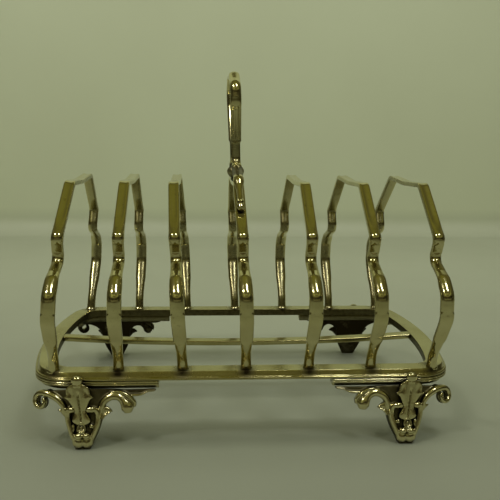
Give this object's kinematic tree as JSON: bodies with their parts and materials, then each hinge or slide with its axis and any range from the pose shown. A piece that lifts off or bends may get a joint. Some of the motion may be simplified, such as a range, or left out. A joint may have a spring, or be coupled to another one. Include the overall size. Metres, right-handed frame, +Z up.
{
  "type": "toast rack",
  "caption": "Polished silver toast rack: a row of shaped arches on a bevelled oblong base frame with a middle rail, a loop handle over the centre arch, and cast scroll feet with leaves.",
  "frame": {"origin": "on the table, under the centre of the base frame", "axes": "+X along the row of arches, +Y across the rack from front to rear, +Z up"},
  "size_m": [0.1696, 0.1188, 0.1393],
  "materials": {
    "frame_silver": "polished silver, lightly tarnished",
    "strip_silver": "polished silver strip",
    "cast_silver": "cast silver, dark in the hollows"
  },
  "bodies": {
    "root": {"base_frame": "frame_silver", "middle_rail": "frame_silver", "arch_1": "strip_silver", "arch_2": "strip_silver", "arch_3": "strip_silver", "arch_4": "strip_silver", "arch_5": "strip_silver", "arch_6": "strip_silver", "arch_7": "strip_silver", "handle_loop": "strip_silver", "handle_knop": "cast_silver", "front_left_moulding": "cast_silver", "front_left_scroll_foot": "cast_silver", "front_left_leaf": "cast_silver", "front_right_moulding": "cast_silver", "front_right_scroll_foot": "cast_silver", "front_right_leaf": "cast_silver", "rear_left_moulding": "cast_silver", "rear_left_scroll_foot": "cast_silver", "rear_left_leaf": "cast_silver", "rear_right_moulding": "cast_silver", "rear_right_scroll_foot": "cast_silver", "rear_right_leaf": "cast_silver"}
  },
  "joints": []
}
